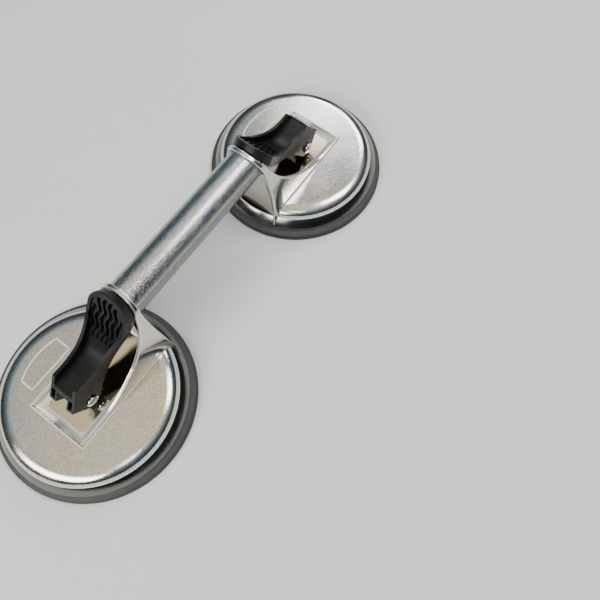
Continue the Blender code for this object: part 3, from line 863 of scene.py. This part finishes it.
def lever_point(side, s, v, t):
    """A point at s along the lever from its pin, v across it and t square to both."""
    u = PIN_U - s * math.cos(LEVER_TILT) + t * math.sin(LEVER_TILT)
    z = PIN_Z + s * math.sin(LEVER_TILT) + t * math.cos(LEVER_TILT)
    return at(side, u, v, z)


def lever_half_width(s):
    """Half the lever's width at a distance from the pin."""
    places = [(-20.0, LEVER_HALF), (20.0, LEVER_HALF), (24.0, 8.35), (30.0, 8.95), (38.0, 10.4)]
    places += [(44.0, 11.6), (49.0, 12.3), (HEAD_S, HEAD_R)]
    if s > HEAD_S:
        return math.sqrt(max(0.0, HEAD_R**2 - (s - HEAD_S) ** 2))
    return float(np.interp(s, [p[0] for p in places], [p[1] for p in places]))


def lever_plan(inset, back):
    """The lever's outline as (s, v), moved in by inset: two sides from s = back on, and a round head."""
    places = [(back, LEVER_HALF), (12.0, LEVER_HALF), (20.0, 8.25), (26.0, 8.55), (32.0, 9.25)]
    places += [(38.0, 10.3), (44.0, 11.55), (49.5, 12.35)]
    shrink = 1 - inset / HEAD_R
    right = [(s, v - inset) for s, v in smooth_path(places, 22)]
    right += [(HEAD_S + (s - HEAD_S) * shrink, v * shrink) for s, v in arc((HEAD_S, 0.0), HEAD_R, 84, 0, 20)]
    return right + [(s, -v) for s, v in reversed(right[:-1])]


def plan_cutter(side, name, inset, back):
    """A block with the lever's outline, square to the lever's length."""
    bm = bmesh.new()
    plan = lever_plan(inset, back)
    made = add_grid(bm, [[lever_point(side, s, v, t) for s, v in plan] for t in (-45.0, 60.0)], wrap=True)
    bm.faces.new(made[0])
    bm.faces.new(made[-1])
    return mesh_object(bm, name, PLASTIC)


def side_cutter(side, name, outline, low, high):
    """A block with an outline as (u, z)."""
    bm = bmesh.new()
    add_prism(bm, side, outline, "v", low, high)
    return mesh_object(bm, name, PLASTIC)


# As (u, z): the end face's two ends, the floor of the channel and head, and the grooves' centre line
END_TIP, END_CORNER = (11.6, 32.3), (0.6, 46.5)
HEAD_FLOOR = [(-26.0, 47.3), (-31.6, 52.5), (-36.0, 57.9), (-40.75, 64.8), (-43.0, 68.2)]
BOWL = [(-4.0, LEVER_WEB_Z), (-13.0, LEVER_WEB_Z), (-20.0, 42.9)] + HEAD_FLOOR
BOWL += [(-44.5, 71.0), (-45.0, 74.0)]
GROOVE_LINE = HEAD_FLOOR + [(-44.6, 70.8)]


def groove_cutter(side, middle):
    """One wavy thumb groove, sunk in the head: round at the head's end and fading out towards the beam."""
    path = smooth_path(GROOVE_LINE, 90)
    rings = []
    for i in range(1, 89):
        u, z = path[i]
        ahead = path[i + 1] - path[i - 1]
        ahead /= np.linalg.norm(ahead)
        along = -(u - PIN_U) * math.cos(LEVER_TILT) + (z - PIN_Z) * math.sin(LEVER_TILT)
        wave = GROOVE_WAVE * math.sin(2 * math.pi * i / GROOVE_WAVE_STEPS + 0.6)
        v = middle * min(1.0, lever_half_width(min(along, HEAD_S)) / 12.0) + wave
        if along > HEAD_S + math.sqrt(max(0.0, GROOVE_END_R**2 - middle**2)):
            break
        rings.append((u, v, z, ahead))
    made = []
    for i, (u, v, z, ahead) in enumerate(rings):
        from_top = len(rings) - 1 - i
        size = min(1.0, 0.42 + i / 16) * math.sqrt(min(1.0, 0.08 + from_top / 4))
        ring = []
        for k in range(12):
            turn = 2 * math.pi * k / 12
            rise = GROOVE_DEPTH * size * math.sin(turn)
            across = GROOVE_HALF_WIDTH * size * math.cos(turn)
            ring.append(at(side, u + ahead[1] * rise, v + across, z - ahead[0] * rise))
        made.append(ring)
    bm = bmesh.new()
    rows = add_grid(bm, made, wrap=True)
    bm.faces.new(rows[0])
    bm.faces.new(rows[-1])
    return mesh_object(bm, "groove", PLASTIC)


def build_lever(side, tag):
    """The cam lever, cut from its side outline, and the rounded edge of its web."""
    thumb = smooth_path([
        END_CORNER, (-4.0, 46.15), (-10.0, 46.4), (-17.0, 47.75), (-24.0, 50.7), (-30.0, 54.35),
        (-35.0, 58.8), (-40.2, 65.2), (-43.4, 69.7), (-44.9, 71.6), (-46.3, 72.6), (-47.6, 72.6),
        (-48.4, 71.6), (-48.3, 70.0), (-47.1, 66.6), (-45.2, 61.8),
    ], 74)
    back = smooth_path([
        (-45.2, 61.8), (-42.4, 57.4), (-36.0, 51.8), (-28.5, 45.2),
        (-20.0, 38.2), (-12.0, 31.0), (-6.0, 23.8),
    ], 30)
    boss = arc((PIN_U, PIN_Z), 6.5, 218, 350, 26)
    outline = [END_TIP] + [tuple(p) for p in thumb] + [tuple(p) for p in back[1:-1]] + boss
    lever = side_cutter(side, "thumb_lever_" + tag, outline, -16, 16)
    plan = plan_cutter(side, "plan", 0.0, -14.0)
    combine(lever, [plan], "INTERSECT")
    floor = [(8.0, LEVER_WEB_Z)] + [tuple(p) for p in smooth_path(BOWL, 44)] + [(-46.4, 90.0), (8.0, 90.0)]
    channel = side_cutter(side, "channel", floor, -16, 16)
    inner = plan_cutter(side, "inner", LEVER_WALL, -18.0)
    combine(channel, [inner], "INTERSECT")
    stem_gap = [(-5.9, 8.0), (-5.9, PIN_Z)] + arc((PIN_U, PIN_Z), 6.9, 172, 127.5, 8)
    stem_gap += [(20.0, 47.9), (20.0, 8.0)]
    gap = side_cutter(side, "gap", stem_gap, -3.7, 3.7)
    hole = side_cutter(side, "hole", arc((PIN_U, PIN_Z), 2.8, 0, 352.5, 47), -20, 20)
    pockets = [end_pocket(side, sign) for sign in (-1, 1)]
    grooves = [groove_cutter(side, v) for v in GROOVE_PLACES]
    combine(lever, [channel, gap, hole] + pockets + grooves)
    bake(lever, [channel, inner, gap, hole, plan] + pockets + grooves, 30)
    soften(lever, 0.5)
    piece(lever, "cam_lever_" + tag, ["lever_" + tag])

    bm = bmesh.new()
    add_tube(bm, [at(side, 3.9, v, LEVER_WEB_Z) for v in np.linspace(-6.4, 6.4, 9)], 0.45, 10)
    web_edge = mesh_object(bm, "web_edge_" + tag, PLASTIC, 60)
    piece(web_edge, "cam_lever_" + tag, ())


def end_pocket(side, sign):
    """The hollow in the end face of one prong."""
    slope = math.atan2(END_CORNER[1] - END_TIP[1], END_CORNER[0] - END_TIP[0])
    bm = bmesh.new()
    rows = []
    for depth in (-3.0, 3.0):
        row = []
        for along, v in ((1.6, 4.7), (8.6, 4.7), (8.6, 7.2), (1.6, 7.2)):
            u = END_TIP[0] + along * math.cos(slope) - depth * math.sin(slope)
            z = END_TIP[1] + along * math.sin(slope) + depth * math.cos(slope)
            row.append(at(side, u, sign * v, z))
        rows.append(row)
    made = add_grid(bm, rows, wrap=True)
    bm.faces.new(made[0])
    bm.faces.new(made[-1])
    return mesh_object(bm, "pocket_right" if sign < 0 else "pocket_left", PLASTIC)


# Build


build_tube()
for cup_side, cup_tag in ((-1, "a"), (1, "b")):
    build_cover(cup_side, cup_tag)
    build_housing(cup_side, cup_tag)
    build_pad(cup_side, cup_tag)
    build_stem_parts(cup_side, cup_tag)
    build_lever(cup_side, cup_tag)
    looks = {"bearing_plate_": FLOOR_STEEL, "neck_end_panel_": PANEL_STEEL, "pin_clip_": PIN_STEEL}
    for name, look in looks.items():
        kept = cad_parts[name + cup_tag]
        kept.data.materials.clear()
        kept.data.materials.append(look)


# Camera, floor and lights

camera = bpy.data.objects.new("camera", bpy.data.cameras.new("camera"))
bpy.context.scene.collection.objects.link(camera)
camera.data.lens = 29.8
camera.data.sensor_width = 36.0
camera.data.clip_start = 0.01
camera.data.clip_end = 50.0
right = Vector((0.58152, -0.81345, 0.01367))
up = Vector((0.76425, 0.55193, 0.33365))
behind = Vector((-0.27895, -0.18357, 0.94260))
turned = Matrix((right, up, behind)).transposed().to_4x4()
camera.matrix_world = Matrix.Translation((-0.06894, -0.11952, 0.29847)) @ turned
bpy.context.scene.camera = camera


def floor_material():
    mat, tree, shader = node_tree("pale_floor")
    coords = add(tree, "ShaderNodeTexCoord").outputs["Object"]
    cloud = noise(tree, coords, 6.0, 4.0, 0.6)
    color = ramp(tree, cloud, [(0.3, (0.76, 0.76, 0.755)), (0.7, (0.80, 0.80, 0.79))])
    tree.links.new(color, shader.inputs["Base Color"])
    shader.inputs["Roughness"].default_value = 0.75
    return mat


bm = bmesh.new()
add_grid(bm, [[Vector((x, y, -0.0001)) for x in (-6.0, 6.0)] for y in (-6.0, 6.0)])
mesh_object(bm, "floor", floor_material())


def softbox(name, direction, distance, size, radiance, color=(1.0, 1.0, 1.0)):
    """An area light of a given brightness, at a distance from the origin and facing the lifter's middle."""
    place = Vector(direction).normalized() * distance
    data = bpy.data.lights.new(name, "AREA")
    data.shape = "RECTANGLE"
    data.size, data.size_y = size
    data.energy = radiance * math.pi * size[0] * size[1]
    data.color = color
    obj = bpy.data.objects.new(name, data)
    bpy.context.scene.collection.objects.link(obj)
    obj.location = place
    obj.rotation_euler = (Vector((0, 0, 0.02)) - place).to_track_quat("-Z", "Y").to_euler()


def build_world():
    """A studio that is dark low down and pale above, for the reflections. The camera sees a plain grey."""
    world = bpy.data.worlds.new("studio")
    bpy.context.scene.world = world
    world.use_nodes = True
    tree = world.node_tree
    split = add(tree, "ShaderNodeSeparateXYZ")
    tree.links.new(add(tree, "ShaderNodeTexCoord").outputs["Generated"], split.inputs["Vector"])
    color = ramp(tree, split.outputs["Z"], [
        (0.0, (0.05, 0.05, 0.05)), (0.30, (0.04, 0.055, 0.065)), (0.55, (0.09, 0.125, 0.15)),
        (0.70, (0.20, 0.26, 0.30)), (0.80, (0.44, 0.50, 0.53)), (0.86, (0.62, 0.64, 0.62)),
        (0.92, (0.98, 0.90, 0.70)), (1.0, (0.98, 0.90, 0.70)),
    ])
    seen = add(tree, "ShaderNodeLightPath").outputs["Is Camera Ray"]
    backdrop = blend_colors(tree, seen, color, (0.50, 0.50, 0.50))
    tree.links.new(backdrop, tree.nodes["Background"].inputs["Color"])
    tree.nodes["Background"].inputs["Strength"].default_value = 1.0


build_world()
softbox("left_box", (-0.79, 0.02, 0.60), 1.3, (1.00, 0.44), 10.0, (1.0, 0.99, 0.96))
softbox("front_box", (-0.40, -0.36, 0.84), 1.3, (0.24, 0.24), 5.0)
softbox("right_box", (0.76, 0.15, 0.60), 1.3, (0.66, 0.26), 10.0, (0.98, 0.99, 1.0))
softbox("far_box", (0.62, 0.33, 0.73), 1.3, (0.22, 0.22), 3.0, (0.98, 0.99, 1.0))
softbox("top_box", (0.38, -0.31, 0.87), 1.2, (0.42, 0.46), 9.0)
